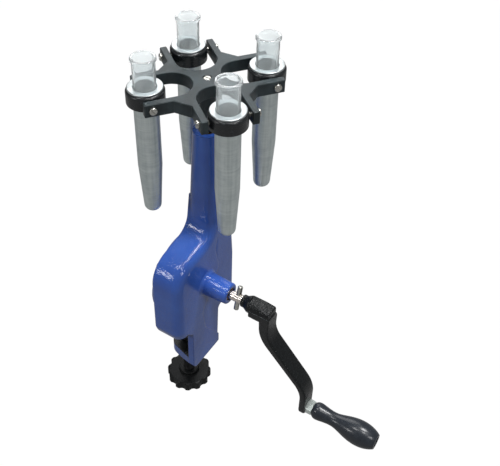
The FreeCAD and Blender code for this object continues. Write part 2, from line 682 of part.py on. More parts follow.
def crank_head(front_y):
    """The collar and the round head, squared below for the arm and cut by one sloping flat."""
    collar = rod(HUB_RADIUS, HUB_START_X, BLOCK_START_X + 2.0, X_AXIS, CRANK_CENTRE)
    edge = [e for e in collar.Edges if abs(e.CenterOfMass.x - HUB_START_X) < 1e-3]
    collar = collar.makeFillet(0.8, edge)
    back_y = CRANK_Y + BLOCK_BACK_HALF
    square = [
        (front_y, CRANK_Z - BLOCK_RADIUS, 1.6),
        (back_y, CRANK_Z - BLOCK_RADIUS, 1.6),
        (back_y, CRANK_Z, 0.0),
        (front_y, CRANK_Z, 0.0),
    ]
    head = rod(BLOCK_RADIUS, BLOCK_START_X, BLOCK_END_X, X_AXIS, CRANK_CENTRE)
    head = head.fuse(prism_x(square, BLOCK_START_X + 2.0, BLOCK_END_X))
    side = [
        (BLOCK_START_X, CRANK_Z - BLOCK_TOP_START + 1.0, 1.0),
        (BLOCK_START_X, CRANK_Z + BLOCK_TOP_START, 0.8),
        (BLOCK_END_X, CRANK_Z + BLOCK_TOP_END, 1.4),
        (BLOCK_END_X, CRANK_Z - BLOCK_RADIUS, 0.0),
        (BLOCK_START_X + 11.0, CRANK_Z - BLOCK_RADIUS, 0.0),
    ]
    return head.common(prism_y(side, front_y, back_y)).fuse(collar)


def grub_rod(radius, length):
    """The rod of the grub screw, from the shaft's seat down through the head."""
    return rod(radius, -SHAFT_SEAT_RADIUS - length, -SHAFT_SEAT_RADIUS, Z_AXIS,
               V(GRUB_X, CRANK_Y, CRANK_Z))


def crank_grub_screw():
    """The slotted grub screw that locks the crank's hub on the shaft."""
    face_z = CRANK_Z - SHAFT_SEAT_RADIUS - GRUB_LENGTH
    slot = Part.makeBox(3.0 * GRUB_RADIUS, 0.6, 1.8,
                        V(GRUB_X - 1.5 * GRUB_RADIUS, CRANK_Y - 0.3, face_z - 0.8))
    return grub_rod(GRUB_RADIUS, GRUB_LENGTH).cut(slot)


def handle_bolt():
    """The long bolt that the grip turns on, riveted through the arm's end."""
    start = ARM_END_X - ARM_END_THICKNESS / 2.0 - 1.2
    head_end = GRIP_END_X - 1.0
    bolt = rod(HANDLE_BOLT_RADIUS, start, head_end - BOLT_HEAD_HEIGHT, X_AXIS, HANDLE_CENTRE)
    head = turned([
        (0.0, 0.0, 0.0),
        (BOLT_HEAD_RADIUS, 0.0, 0.0),
        (BOLT_HEAD_RADIUS, BOLT_HEAD_HEIGHT, 1.2),
        (0.0, BOLT_HEAD_HEIGHT, 0.0),
    ])
    slot = Part.makeBox(10.0, 1.2, 1.4, V(-5.0, -0.6, BOLT_HEAD_HEIGHT - 1.2))
    head = aim(head.cut(slot), X_AXIS, HANDLE_CENTRE + X_AXIS * (head_end - BOLT_HEAD_HEIGHT))
    return bolt.fuse(head)


def hex_nut():
    """The plated nut that locks the handle bolt to the arm."""
    corner = NUT_ACROSS_FLATS / math.sqrt(3.0)
    points = [polar(corner, 60.0 * i + 8.0) for i in range(7)]
    nut = Part.Face(Part.makePolygon(points)).extrude(V(0, 0, NUT_THICKNESS))
    barrel = turned([
        (0.0, 0.0, 0.0),
        (corner, 0.0, 0.0),
        (corner, NUT_THICKNESS - 0.7, 0.0),
        (corner - 1.2, NUT_THICKNESS, 0.0),
        (0.0, NUT_THICKNESS, 0.0),
    ])
    nut = nut.common(barrel).cut(rod(HANDLE_BOLT_RADIUS + SEAT_FIT, -1.0, NUT_THICKNESS + 1.0))
    return aim(nut, X_AXIS, HANDLE_CENTRE + X_AXIS * NUT_START_X)


def handle_grip():
    """The turned grip: collar, narrow neck, belly and flat end, free on its bolt."""
    length = GRIP_LENGTH
    outline = [
        (GRIP_COLLAR_RADIUS - 1.6, 0.0),
        (GRIP_COLLAR_RADIUS, 0.05 * length),
        (GRIP_COLLAR_RADIUS - 0.2, 0.13 * length),
        (GRIP_NECK_RADIUS, 0.34 * length),
        (0.5 * (GRIP_NECK_RADIUS + GRIP_BELLY_RADIUS), 0.5 * length),
        (GRIP_BELLY_RADIUS, 0.73 * length),
        (0.5 * (GRIP_END_RADIUS + GRIP_BELLY_RADIUS) + 0.7, 0.9 * length),
        (GRIP_END_RADIUS, length),
    ]
    curve = Part.BSplineCurve()
    curve.interpolate([V(p[0], 0, p[1]) for p in outline])
    bore = HANDLE_BOLT_RADIUS + RUNNING_FIT
    recess = length - 1.0 - BOLT_HEAD_HEIGHT - SIDE_GAP
    recess_radius = BOLT_HEAD_RADIUS + SIDE_GAP
    inner = [
        V(GRIP_END_RADIUS, 0, length),
        V(recess_radius, 0, length),
        V(recess_radius, 0, recess),
        V(bore, 0, recess),
        V(bore, 0, 0),
        V(GRIP_COLLAR_RADIUS - 1.6, 0, 0),
    ]
    wire = Part.Wire([curve.toShape()] + Part.makePolygon(inner).Edges)
    grip = Part.Face(wire).revolve(V(0, 0, 0), Z_AXIS, 360)
    return aim(grip, X_AXIS, HANDLE_CENTRE + X_AXIS * GRIP_START_X)


def bay_point(along, across, degrees, height):
    """A point given along and across one bay."""
    angle = math.radians(degrees)
    x = along * math.cos(angle) - across * math.sin(angle)
    y = along * math.sin(angle) + across * math.cos(angle)
    return V(x, y, height)


def rotor_head():
    """The four armed plate with a U shaped bay for each bucket, and its hub."""
    z = ROTOR_UNDER_Z
    edges = []
    for i, degrees in enumerate(BAY_ANGLES):
        def at(along, across):
            return bay_point(along, across, degrees, z)
        following = BAY_ANGLES[i] + 360.0 / BUCKETS
        notch_start = at(NOTCH_REACH, PRONG_OUTER)
        notch_end = bay_point(NOTCH_REACH, -PRONG_OUTER, following, z)
        end = PRONG_END
        corner = PRONG_CORNER
        left = [
            at(NOTCH_REACH, -PRONG_OUTER),
            at(end - corner, -PRONG_OUTER),
            at(end, -PRONG_OUTER + corner),
            at(end, -BAY_HALF_WIDTH - corner),
            at(end - corner, -BAY_HALF_WIDTH),
            at(BAY_CENTRE, -BAY_HALF_WIDTH),
        ]
        right = [
            at(BAY_CENTRE, BAY_HALF_WIDTH),
            at(end - corner, BAY_HALF_WIDTH),
            at(end, BAY_HALF_WIDTH + corner),
            at(end, PRONG_OUTER - corner),
            at(end - corner, PRONG_OUTER),
            notch_start,
        ]
        edges += Part.makePolygon(left).Edges
        edges.append(Part.Arc(left[-1], at(BAY_APEX, 0.0), right[0]).toShape())
        edges += Part.makePolygon(right).Edges
        edges.append(Part.LineSegment(notch_start, notch_end).toShape())
    plate = Part.Face(Part.Wire(edges)).extrude(V(0, 0, ROTOR_THICKNESS))
    rims = [e for e in plate.Edges if abs(e.CenterOfMass.z - ROTOR_TOP_Z) < 1e-3]
    plate = plate.makeChamfer(0.5, rims)
    hub = rod(ROTOR_HUB_RADIUS, COLUMN_TOP_Z + ROTOR_HUB_GAP, ROTOR_UNDER_Z)
    head = plate.fuse(hub)
    head = head.cut(rod(SPINDLE_RADIUS + SEAT_FIT, 0.0, SPINDLE_TOP_Z + SEAT_FIT))
    head = head.cut(rod(1.6 + SEAT_FIT, SPINDLE_TOP_Z, ROTOR_TOP_Z + CUT_OVER))
    head = head.cut(rod(3.4 + SEAT_FIT, ROTOR_TOP_Z - 2.2, ROTOR_TOP_Z + CUT_OVER))
    for degrees in BAY_ANGLES:
        for side in (-1.0, 1.0):
            start, direction = pivot_line(degrees, side)
            hole = rod(2.0 + SEAT_FIT, -CUT_OVER, PRONG_WIDTH + CUT_OVER, direction, start)
            head = head.cut(hole)
    return head


def pivot_line(degrees, side):
    """The outer face point of a prong at the pivot, and the direction into the ring."""
    start = bay_point(RING_CIRCLE, side * PRONG_OUTER, degrees, PIVOT_Z)
    inner = bay_point(RING_CIRCLE, 0.0, degrees, PIVOT_Z)
    return start, (inner - start).normalize()


def rotor_screw():
    """The slotted screw that holds the rotor head down on the spindle."""
    screw = slotted_screw(1.6, 9.5, 3.2, 2.0)
    return aim(screw, Z_AXIS, V(0, 0, ROTOR_TOP_Z - 2.2))


def pivot_screws():
    """Eight slotted screws. Their plain tips are the pivots of the trunnion rings."""
    reach = PRONG_OUTER - (RING_RADIUS - PIVOT_DEPTH) - PRONG_WIDTH - 0.2
    screws = []
    for degrees in BAY_ANGLES:
        for side in (-1.0, 1.0):
            start, direction = pivot_line(degrees, side)
            screw = slotted_screw(2.0, PRONG_WIDTH + 0.2, PIVOT_HEAD_RADIUS,
                                  PIVOT_HEAD_HEIGHT, PIVOT_RADIUS, reach - 0.2)
            screws.append(aim(screw, -direction, start))
    return Part.makeCompound(screws)


def trunnion_ring(degrees):
    """The black ring that swings between two prongs and holds a bucket by its rim."""
    bore = BUCKET_RADIUS + BUCKET_RING_FIT
    half = RING_HEIGHT / 2.0
    ring = turned([
        (bore, -half, 0.0),
        (RING_RADIUS, -half, 1.0),
        (RING_RADIUS, half, 2.2),
        (bore, half, 0.0),
    ])
    ring.translate(bay_point(RING_CIRCLE, 0.0, degrees, PIVOT_Z))
    for side in (-1.0, 1.0):
        start, direction = pivot_line(degrees, side)
        deep = PRONG_OUTER - RING_RADIUS + PIVOT_DEPTH
        ring = ring.cut(rod(PIVOT_RADIUS + RUNNING_FIT, 0.0, deep, direction, start))
    return ring


def bucket(degrees):
    """The spun aluminium bucket: rim, straight body, taper and rounded tip."""
    low = BUCKET_FOOT_Z
    taper_z = TUBE_CONE_Z
    wall = BUCKET_WALL
    inner = BUCKET_RADIUS - wall
    shape = turned([
        (0.0, low, 0.0),
        (BUCKET_TIP_RADIUS, low, BUCKET_TIP_RADIUS - 0.9),
        (BUCKET_RADIUS, taper_z, 30.0),
        (BUCKET_RADIUS, RING_TOP_Z, 0.0),
        (BUCKET_RIM_RADIUS, RING_TOP_Z, 0.4),
        (BUCKET_RIM_RADIUS, RIM_TOP_Z, 0.6),
        (inner, RIM_TOP_Z, 0.5),
        (inner, taper_z, 29.0),
        (BUCKET_TIP_RADIUS - wall, low + wall, BUCKET_TIP_RADIUS - wall - 1.0),
        (0.0, low + wall, 0.0),
    ])
    shape.translate(bay_point(RING_CIRCLE, 0.0, degrees, 0.0))
    return shape


def cone_radius(z):
    """The tube's outer radius at a height in its cone."""
    share = (z - TUBE_TIP_Z) / TUBE_CONE_LENGTH
    return TUBE_TIP_RADIUS + (TUBE_RADIUS - TUBE_TIP_RADIUS) * share


def cushion(degrees):
    """The rubber cushion in the bucket's foot, dished for the tube's tip."""
    low = BUCKET_FOOT_Z + BUCKET_WALL
    floor_z = TUBE_TIP_Z - SIDE_GAP
    top_z = TUBE_TIP_Z + 5.0
    low_radius = BUCKET_TIP_RADIUS - BUCKET_WALL - 0.35
    top_radius = low_radius + 1.15
    shape = turned([
        (0.0, low + 0.1, 0.0),
        (low_radius, low + 0.1, low_radius - 0.9),
        (top_radius, top_z, 0.0),
        (cone_radius(top_z) + TUBE_LIFT_CLEARANCE + 0.25, top_z, 0.0),
        (TUBE_TIP_RADIUS + 0.35, floor_z, 1.5),
        (0.0, floor_z, 0.0),
    ])
    shape.translate(bay_point(RING_CIRCLE, 0.0, degrees, 0.0))
    return shape


def glass_tube(degrees):
    """The conical glass tube with its beaded lip."""
    tip_z = TUBE_TIP_Z
    cone_z = TUBE_CONE_Z
    wall = TUBE_WALL
    lip = TUBE_LIP_RADIUS
    shape = turned([
        (0.0, tip_z, 0.0),
        (TUBE_TIP_RADIUS, tip_z, 1.6),
        (TUBE_RADIUS, cone_z, 8.0),
        (TUBE_RADIUS, TUBE_TOP_Z - 3.0, 0.0),
        (lip, TUBE_TOP_Z - 2.2, 0.4),
        (lip, TUBE_TOP_Z, 0.8),
        (TUBE_RADIUS - wall, TUBE_TOP_Z, 0.4),
        (TUBE_RADIUS - wall, cone_z, 8.0),
        (TUBE_TIP_RADIUS - wall + 0.3, tip_z + wall + 0.6, 0.6),
        (0.0, tip_z + wall + 0.6, 0.0),
    ])
    shape.translate(bay_point(RING_CIRCLE, 0.0, degrees, 0.0))
    return shape


def clamp_screw():
    """The clamp screw, with the neck that the pad swivels on."""
    neck_top = PAD_TOP_Z - 2.0
    body_top = PAD_TOP_Z - PAD_THICKNESS
    screw = rod(CLAMP_SCREW_RADIUS, KNOB_TOP_Z - KNOB_THICKNESS, body_top, Z_AXIS, CLAMP_CENTRE)
    return screw.fuse(rod(3.0, body_top, neck_top, Z_AXIS, CLAMP_CENTRE))


def pressure_pad():
    """The swivel pad that presses on the underside of the bench."""
    low = PAD_TOP_Z - PAD_THICKNESS + SIDE_GAP
    pad = turned([
        (0.0, low, 0.0),
        (PAD_RADIUS - 1.5, low, 0.0),
        (PAD_RADIUS, low + 1.8, 0.5),
        (PAD_RADIUS, PAD_TOP_Z, 0.6),
        (0.0, PAD_TOP_Z, 0.0),
    ])
    pad.translate(CLAMP_CENTRE)
    socket = rod(3.0 + RUNNING_FIT, low - CUT_OVER, PAD_TOP_Z - 2.0 + SIDE_GAP,
                 Z_AXIS, CLAMP_CENTRE)
    return pad.cut(socket)


def clamp_knob():
    """The lobed knob pressed on the lower end of the clamp screw."""
    step = 360.0 / KNOB_LOBES
    low = KNOB_TOP_Z - KNOB_HUB_HEIGHT - KNOB_THICKNESS
    lobe = 0.2 * step
    edges = []
    for i in range(KNOB_LOBES):
        at = i * step
        start = polar(KNOB_RADIUS - 0.7, at - lobe, low)
        end = polar(KNOB_RADIUS - 0.7, at + lobe, low)
        valley = polar(KNOB_RADIUS - KNOB_SCALLOP_DEPTH, at + step / 2.0, low)
        following = polar(KNOB_RADIUS - 0.7, at + step - lobe, low)
        edges.append(Part.Arc(start, polar(KNOB_RADIUS, at, low), end).toShape())
        edges.append(Part.Arc(end, valley, following).toShape())
    rim = Part.Face(Part.Wire(edges)).extrude(V(0, 0, KNOB_THICKNESS))
    dome = turned([
        (0.0, low, 0.0),
        (KNOB_RADIUS + 1.0, low, 4.0),
        (KNOB_RADIUS + 1.0, low + KNOB_THICKNESS, 4.0),
        (0.0, low + KNOB_THICKNESS, 0.0),
    ])
    hub = rod(KNOB_HUB_RADIUS, low + KNOB_THICKNESS, KNOB_TOP_Z)
    edge = [e for e in hub.Edges if abs(e.CenterOfMass.z - KNOB_TOP_Z) < 1e-3]
    knob = rim.common(dome).fuse(hub.makeFillet(1.0, edge))
    knob = knob.cut(rod(CLAMP_SCREW_RADIUS + SEAT_FIT, KNOB_TOP_Z - KNOB_THICKNESS,
                        KNOB_TOP_Z + CUT_OVER))
    knob.translate(CLAMP_CENTRE)
    return knob


save("body_casting", body_casting())
save("gear_cover", gear_cover())
save("cover_screws", cover_screws())
save("top_bush", tube(BUSH_RADIUS, SPINDLE_RADIUS + RUNNING_FIT,
                      COLUMN_TOP_Z - TOP_BUSH_LENGTH, COLUMN_TOP_Z + 0.4))
save("foot_bush", tube(BUSH_RADIUS, SPINDLE_FOOT_RADIUS + RUNNING_FIT,
                       FOOT_BUSH_Z, FOOT_BUSH_Z + FOOT_BUSH_LENGTH))
save("thrust_ball", Part.makeSphere(BALL_RADIUS, V(0, 0, BALL_Z)))
save("boss_bush", tube(CRANK_BUSH_RADIUS, SHAFT_RADIUS + RUNNING_FIT,
                       CAVITY_END_X, BOSS_END_X - BUSH_RECESS, X_AXIS, CRANK_CENTRE))
save("cover_bush", tube(COVER_BUSH_RADIUS, SHAFT_RADIUS + RUNNING_FIT,
                        SHAFT_INNER_X - 1.0, COVER_BOSS_INNER_X, X_AXIS, CRANK_CENTRE))
save("spindle", spindle())
save("worm", worm())
save("rotor_head", rotor_head())
save("rotor_screw", rotor_screw())
save("pivot_screws", pivot_screws())
save("crank_shaft", crank_shaft())
save("worm_wheel", worm_wheel())
save("wheel_pin", wheel_pin_rod(0.0, WHEEL_HUB_RADIUS - 0.2))
save("cross_pin", cross_pin())
save("crank_arm", crank_arm())
save("crank_grub_screw", crank_grub_screw())
save("handle_bolt", handle_bolt())
save("hex_nut", hex_nut())
save("handle_grip", handle_grip())
save("clamp_screw", clamp_screw())
save("pressure_pad", pressure_pad())
save("clamp_knob", clamp_knob())
for number, bay in enumerate(BAY_ANGLES, start=1):
    save("trunnion_ring_%d" % number, trunnion_ring(bay))
    save("bucket_%d" % number, bucket(bay))
    save("cushion_%d" % number, cushion(bay))
    save("glass_tube_%d" % number, glass_tube(bay))
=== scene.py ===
import json
import math

import bmesh
import bpy
from mathutils import Euler, Matrix, Vector


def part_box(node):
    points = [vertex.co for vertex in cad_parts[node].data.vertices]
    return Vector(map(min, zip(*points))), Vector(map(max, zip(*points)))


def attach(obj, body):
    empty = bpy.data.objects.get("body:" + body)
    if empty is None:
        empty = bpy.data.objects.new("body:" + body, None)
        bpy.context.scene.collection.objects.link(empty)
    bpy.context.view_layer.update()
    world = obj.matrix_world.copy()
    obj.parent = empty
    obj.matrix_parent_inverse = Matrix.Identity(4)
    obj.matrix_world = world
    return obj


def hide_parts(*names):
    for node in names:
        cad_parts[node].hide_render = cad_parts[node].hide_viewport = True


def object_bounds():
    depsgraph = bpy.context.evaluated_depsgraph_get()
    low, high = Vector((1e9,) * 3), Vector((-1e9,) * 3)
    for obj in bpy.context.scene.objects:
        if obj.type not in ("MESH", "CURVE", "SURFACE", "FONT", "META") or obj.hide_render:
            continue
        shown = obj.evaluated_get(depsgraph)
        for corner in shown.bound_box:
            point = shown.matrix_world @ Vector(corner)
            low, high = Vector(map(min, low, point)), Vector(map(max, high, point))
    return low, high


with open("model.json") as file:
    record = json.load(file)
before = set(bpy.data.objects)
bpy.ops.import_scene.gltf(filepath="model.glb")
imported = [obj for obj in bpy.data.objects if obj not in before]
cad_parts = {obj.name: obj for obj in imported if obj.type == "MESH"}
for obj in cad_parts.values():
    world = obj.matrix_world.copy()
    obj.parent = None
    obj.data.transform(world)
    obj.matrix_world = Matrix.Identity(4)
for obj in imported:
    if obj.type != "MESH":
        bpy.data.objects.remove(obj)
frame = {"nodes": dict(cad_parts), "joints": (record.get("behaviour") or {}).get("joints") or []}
cad_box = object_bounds()

# The camera
# It looks down on the crank side from above the gear case. The photograph was cut
# from a larger frame, so the optical axis is left of the middle and above it.
CAMERA_PLACE = Vector((0.2686, -0.3940, 0.5305))
CAMERA_TURN = math.radians(34.27)
CAMERA_DIP = math.radians(41.5)
CAMERA_ROLL = math.radians(-0.5)
SENSOR = 36.0
LENS = 55.83
camera_data = bpy.data.cameras.new("camera")
camera_data.sensor_width = SENSOR
camera_data.lens = LENS
camera_data.shift_x = 0.083
camera_data.shift_y = -0.053
camera_data.clip_start = 0.01
camera = bpy.data.objects.new("camera", camera_data)
aim = Euler((math.pi / 2 - CAMERA_DIP, 0, CAMERA_TURN)).to_matrix()
aim = aim @ Matrix.Rotation(CAMERA_ROLL, 3, "Z")
camera.matrix_world = Matrix.Translation(CAMERA_PLACE) @ aim.to_4x4()
bpy.context.scene.collection.objects.link(camera)
bpy.context.scene.camera = camera
bpy.context.scene.view_settings.view_transform = "Standard"


# The studio
# A room lit from its ceiling: the rotor shades the column below it. A wide lamp behind gives
# the level faces their sheen, and the small ones make the glints. Past the object all is white.
class Wire:
    """A value in a node tree. Sums and products of it add Math nodes."""

    def __init__(self, nodes, socket):
        self.nodes = nodes
        self.socket = socket

    def math(self, operation, first, second):
        return self.nodes.add("Math", {"operation": operation}, {0: first, 1: second})

    def __add__(self, other):
        return self.math("ADD", self, other)

    def __radd__(self, other):
        return self.math("ADD", other, self)

    def __sub__(self, other):
        return self.math("SUBTRACT", self, other)

    def __rsub__(self, other):
        return self.math("SUBTRACT", other, self)

    def __mul__(self, other):
        return self.math("MULTIPLY", self, other)

    def __rmul__(self, other):
        return self.math("MULTIPLY", other, self)


class Nodes:
    """A node tree, and the one way in which nodes are added to it."""

    def __init__(self, tree):
        self.tree = tree

    def add(self, kind, settings=None, sockets=None, output=0):
        """A node with its settings, then the values or links of its sockets."""
        node = self.tree.nodes.new("ShaderNode" + kind)
        for name, value in (settings or {}).items():
            setattr(node, name, value)
        for name, value in (sockets or {}).items():
            self.feed(node.inputs[name], value)
        return Wire(self, node.outputs[output])

    def feed(self, socket, value):
        """A link for a wire, and a constant for anything else."""
        if isinstance(value, Wire):
            self.tree.links.new(value.socket, socket)
        else:
            socket.default_value = value


SCREEN_WHITE = 255
SCREEN_TOE = 10
SCREEN_TOE_RANGE = 3294
SCREEN_OFFSET = 0.055
SCREEN_POWER = 2.4


def linear(red, green, blue):
    """A colour picked on screen, from 0 to 255, as light."""
    light = []
    for level in (red, green, blue):
        if level > SCREEN_TOE:
            share = (level / SCREEN_WHITE + SCREEN_OFFSET) / (1 + SCREEN_OFFSET)
            light.append(share ** SCREEN_POWER)
        else:
            light.append(level / SCREEN_TOE_RANGE)
    return (*light, 1.0)


WORLD_ON_OBJECT = 0.13
WORLD_IN_GLOSS = 0.12
world = bpy.data.worlds.new("studio")
bpy.context.scene.world = world
world.use_nodes = True
sky = Nodes(world.node_tree)
by_camera = sky.add("LightPath", output="Is Camera Ray")
by_gloss = sky.add("LightPath", output="Is Glossy Ray")
by_glass = sky.add("LightPath", output="Is Transmission Ray")
seen = by_camera.math("MAXIMUM", by_camera, by_glass)
background = world.node_tree.nodes["Background"]
background.inputs["Color"].default_value = (1.0, 1.0, 1.0, 1.0)
world_strength = WORLD_ON_OBJECT + by_gloss * WORLD_IN_GLOSS + seen * (1 - WORLD_ON_OBJECT)
sky.feed(background.inputs["Strength"], world_strength)

LAMP_TARGET = Vector((0.0, 0.0, 0.12))


def lamp(name, place, width, watts):
    """A soft square lamp that faces the column."""
    data = bpy.data.lights.new(name, "AREA")
    data.size = width
    data.energy = watts
    piece = bpy.data.objects.new(name, data)
    piece.location = place
    piece.rotation_euler = (LAMP_TARGET - Vector(place)).to_track_quat("-Z", "Y").to_euler()
    bpy.context.scene.collection.objects.link(piece)


lamp("ceiling_lamp", (0.24, 0.24, 1.15), 0.24, 8.0)
lamp("left_ceiling_lamp", (-0.30, -0.42, 1.40), 0.20, 3.4)
lamp("right_ceiling_lamp", (0.42, -0.30, 1.40), 0.20, 3.4)
lamp("back_lamp", (-0.62, 0.88, 0.92), 0.80, 5.0)
lamp("right_lamp", (0.81, -0.32, 0.80), 0.14, 2.2)
lamp("window_lamp", (-0.47, -0.95, 0.55), 0.14, 2.0)

FLOOR_HALF = 3.0
FLOOR_GAP = 0.0005
floor_mesh = bpy.data.meshes.new("floor")
corners = [(-1, -1), (1, -1), (1, 1), (-1, 1)]
floor_z = cad_box[0][2] - FLOOR_GAP
floor_points = [(x * FLOOR_HALF, y * FLOOR_HALF, floor_z) for x, y in corners]
floor_mesh.from_pydata(floor_points, [], [(0, 1, 2, 3)])
floor = bpy.data.objects.new("floor", floor_mesh)
bpy.context.scene.collection.objects.link(floor)


BEVEL_SAMPLES = 6
EDGE_START = 0.01
EDGE_FULL = 0.1


class Finish(Nodes):
    """A material: its Principled shader, and the nodes that feed it."""

    def __init__(self, name, **constants):
        self.material = bpy.data.materials.new(name)
        self.material.use_nodes = True
        super().__init__(self.material.node_tree)
        self.shader = self.tree.nodes["Principled BSDF"]
        self.output = self.tree.nodes["Material Output"]
        for socket, value in constants.items():
            self.shader.inputs[socket.replace("_", " ")].default_value = value

    def set(self, name, value):
        self.feed(self.shader.inputs[name], value)

    def place(self):
        """The point on the piece, in metres."""
        return self.add("TexCoord", output="Object")

    def stretched(self, x, y, z):
        """The point, with each axis scaled: a larger number makes finer grain."""
        sockets = {"Vector": self.place(), "Scale": (x, y, z)}
        return self.add("Mapping", {"vector_type": "POINT"}, sockets)

    def noise(self, scale, detail=2.0, where=None, roughness=0.5):
        """Cloudy noise from 0 to 1. The scale is in features to a metre."""
        sockets = {
            "Vector": where or self.place(),
            "Scale": scale,
            "Detail": detail,
            "Roughness": roughness,
        }
        return self.add("TexNoise", None, sockets)

    def along(self, axis):
        """The point's X, Y or Z, in metres."""
        return self.add("SeparateXYZ", None, {0: self.place()}, axis)

    def ramp(self, value, low, high):
        """Value, taken from low..high to 0..1 and held there."""
        sockets = {"Value": value, "From Min": low, "From Max": high}
        return self.add("MapRange", {"clamp": True}, sockets)

    def mix(self, share, first, second):
        """One colour giving way to another."""
        return self.add("Mix", {"data_type": "RGBA"}, {0: share, 6: first, 7: second}, 2)

    def edge(self, radius):
        """1 along an edge, and 0 on open surface."""
        rounded = self.add("Bevel", {"samples": BEVEL_SAMPLES}, {"Radius": radius})
        flat = self.add("NewGeometry", output="Normal")
        along = self.add("VectorMath", {"operation": "DOT_PRODUCT"}, {0: rounded, 1: flat}, "Value")
        return self.ramp(1 - along, EDGE_START, EDGE_FULL)

    def bump(self, height, depth, strength=1.0, soft_edge=0.0):
        """Relief of that depth in metres. A soft edge rounds the corners by its radius."""
        sockets = {"Height": height, "Distance": depth, "Strength": strength}
        if soft_edge:
            sockets["Normal"] = self.add("Bevel", {"samples": BEVEL_SAMPLES}, {"Radius": soft_edge})
        self.set("Normal", self.add("Bump", None, sockets))


PAPER_LIGHT = 1.055
PAPER_SEEN = 0.955
PAPER_IN_GLOSS = 0.26
paper = Finish("white_paper", Base_Color=(0.12, 0.12, 0.12, 1.0), Roughness=0.9)
paper_glow = paper.add("Emission", None, {"Color": (1.0, 1.0, 1.0, 1.0), "Strength": PAPER_LIGHT})
paper_camera = paper.add("LightPath", output="Is Camera Ray")
paper_glass = paper.add("LightPath", output="Is Transmission Ray")
paper_seen = paper_camera.math("MAXIMUM", paper_camera, paper_glass)
paper_gloss = paper.add("LightPath", output="Is Glossy Ray")
paper_mix = paper.add("MixShader", None, {0: paper_seen * PAPER_SEEN + paper_gloss * PAPER_IN_GLOSS})
paper.tree.links.new(paper.shader.outputs[0], paper_mix.socket.node.inputs[1])
paper.tree.links.new(paper_glow.socket, paper_mix.socket.node.inputs[2])
paper.tree.links.new(paper_mix.socket, paper.output.inputs["Surface"])
floor_mesh.materials.append(paper.material)


# The casting
# One iron casting: column, gear case, crank boss, spine and clamp lug. It is sprayed with
# thick glossy blue enamel, which lies a little uneven over the sand-cast skin. Inside the
# throat its colour is painted near black, a painted shade of that recess.
CREASE = 32.0
WELD_REACH = 0.000002


def soften(piece, crease):
    """Smooth shading between facets that meet at less than the crease angle, in degrees.

    Without a crease angle the piece keeps the normals that it came with.
    """
    mesh = piece.data
    for face in mesh.polygons:
        face.use_smooth = True
    if not crease:
        return
    if "custom_normal" in mesh.attributes:
        mesh.attributes.remove(mesh.attributes["custom_normal"])
    weld = piece.modifiers.new("weld", "WELD")
    weld.merge_threshold = WELD_REACH
    split = piece.modifiers.new("creases", "EDGE_SPLIT")
    split.split_angle = math.radians(crease)
    split.use_edge_sharp = False


def dress(node, finish, crease=CREASE):
    """A CAD node takes a finish, and smooth shading."""
    piece = frame["nodes"][node]
    piece.data.materials.clear()
    piece.data.materials.append(finish.material)
    soften(piece, crease)


def build(name, mesh_edit, finish, body, crease):
    """A new piece from an edited mesh, with its finish, riding on a body."""
    mesh = bpy.data.meshes.new(name)
    bmesh.ops.recalc_face_normals(mesh_edit, faces=mesh_edit.faces)
    mesh_edit.to_mesh(mesh)
    mesh_edit.free()
    mesh.materials.append(finish.material)
    piece = bpy.data.objects.new(name, mesh)
    bpy.context.scene.collection.objects.link(piece)
    soften(piece, crease)
    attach(piece, body)
    return piece


ENAMEL_LIGHT = linear(66, 108, 198)
ENAMEL_DEEP = linear(54, 92, 182)
ENAMEL_EDGE_THIN_AND_SHADE = linear(40, 66, 130)
ORANGE_PEEL = 850.0
CAST_WAVES = 110.0
THROAT_BACK_X = 0.0075
THROAT_FLOOR_Z = -0.0395
THROAT_BACK_FAR = 0.0003
THROAT_BACK_NEAR = 0.0001
THROAT_MASK_FAR = 0.0004
THROAT_MASK_NEAR = 0.0002
enamel = Finish("blue_enamel", Specular_IOR_Level=0.5)
peel = enamel.noise(ORANGE_PEEL, 2.0)
waves = enamel.noise(CAST_WAVES, 2.0)
clouds = enamel.ramp(enamel.noise(34.0, 3.0), 0.3, 0.7)
runs = enamel.ramp(enamel.noise(1.0, 3.0, enamel.stretched(160.0, 160.0, 24.0)), 0.55, 0.75)
body_blue = enamel.mix(clouds, ENAMEL_DEEP, ENAMEL_LIGHT)
body_blue = enamel.mix(runs * 0.25, body_blue, ENAMEL_DEEP)
# Darker blue along edges: thinner enamel on the edges, and painted shade in the creases.
body_blue = enamel.mix(enamel.edge(0.0012) * 0.5, body_blue, ENAMEL_EDGE_THIN_AND_SHADE)
height = enamel.along("Z")
before_back = enamel.ramp(
    enamel.along("X"), THROAT_BACK_X + THROAT_BACK_FAR, THROAT_BACK_X + THROAT_BACK_NEAR)
above_floor = enamel.ramp(
    height, THROAT_FLOOR_Z - THROAT_MASK_FAR, THROAT_FLOOR_Z - THROAT_MASK_NEAR)
below_jaw = enamel.ramp(height, THROAT_MASK_FAR, THROAT_MASK_NEAR)
# Painted shade: inside the throat the colour below turns near black.
in_throat = before_back * above_floor * below_jaw
throat_painted_shade = enamel.mix(peel, linear(16, 18, 20), linear(32, 34, 36))
enamel.set("Base Color", enamel.mix(in_throat, body_blue, throat_painted_shade))
enamel.set("Roughness", 0.05 + peel * 0.08 + clouds * 0.03 + in_throat * 0.35)
enamel.bump(peel * 0.4 + waves * 0.6, 0.0005, 0.9, 0.0016)
dress("body_casting", enamel, 28.0)


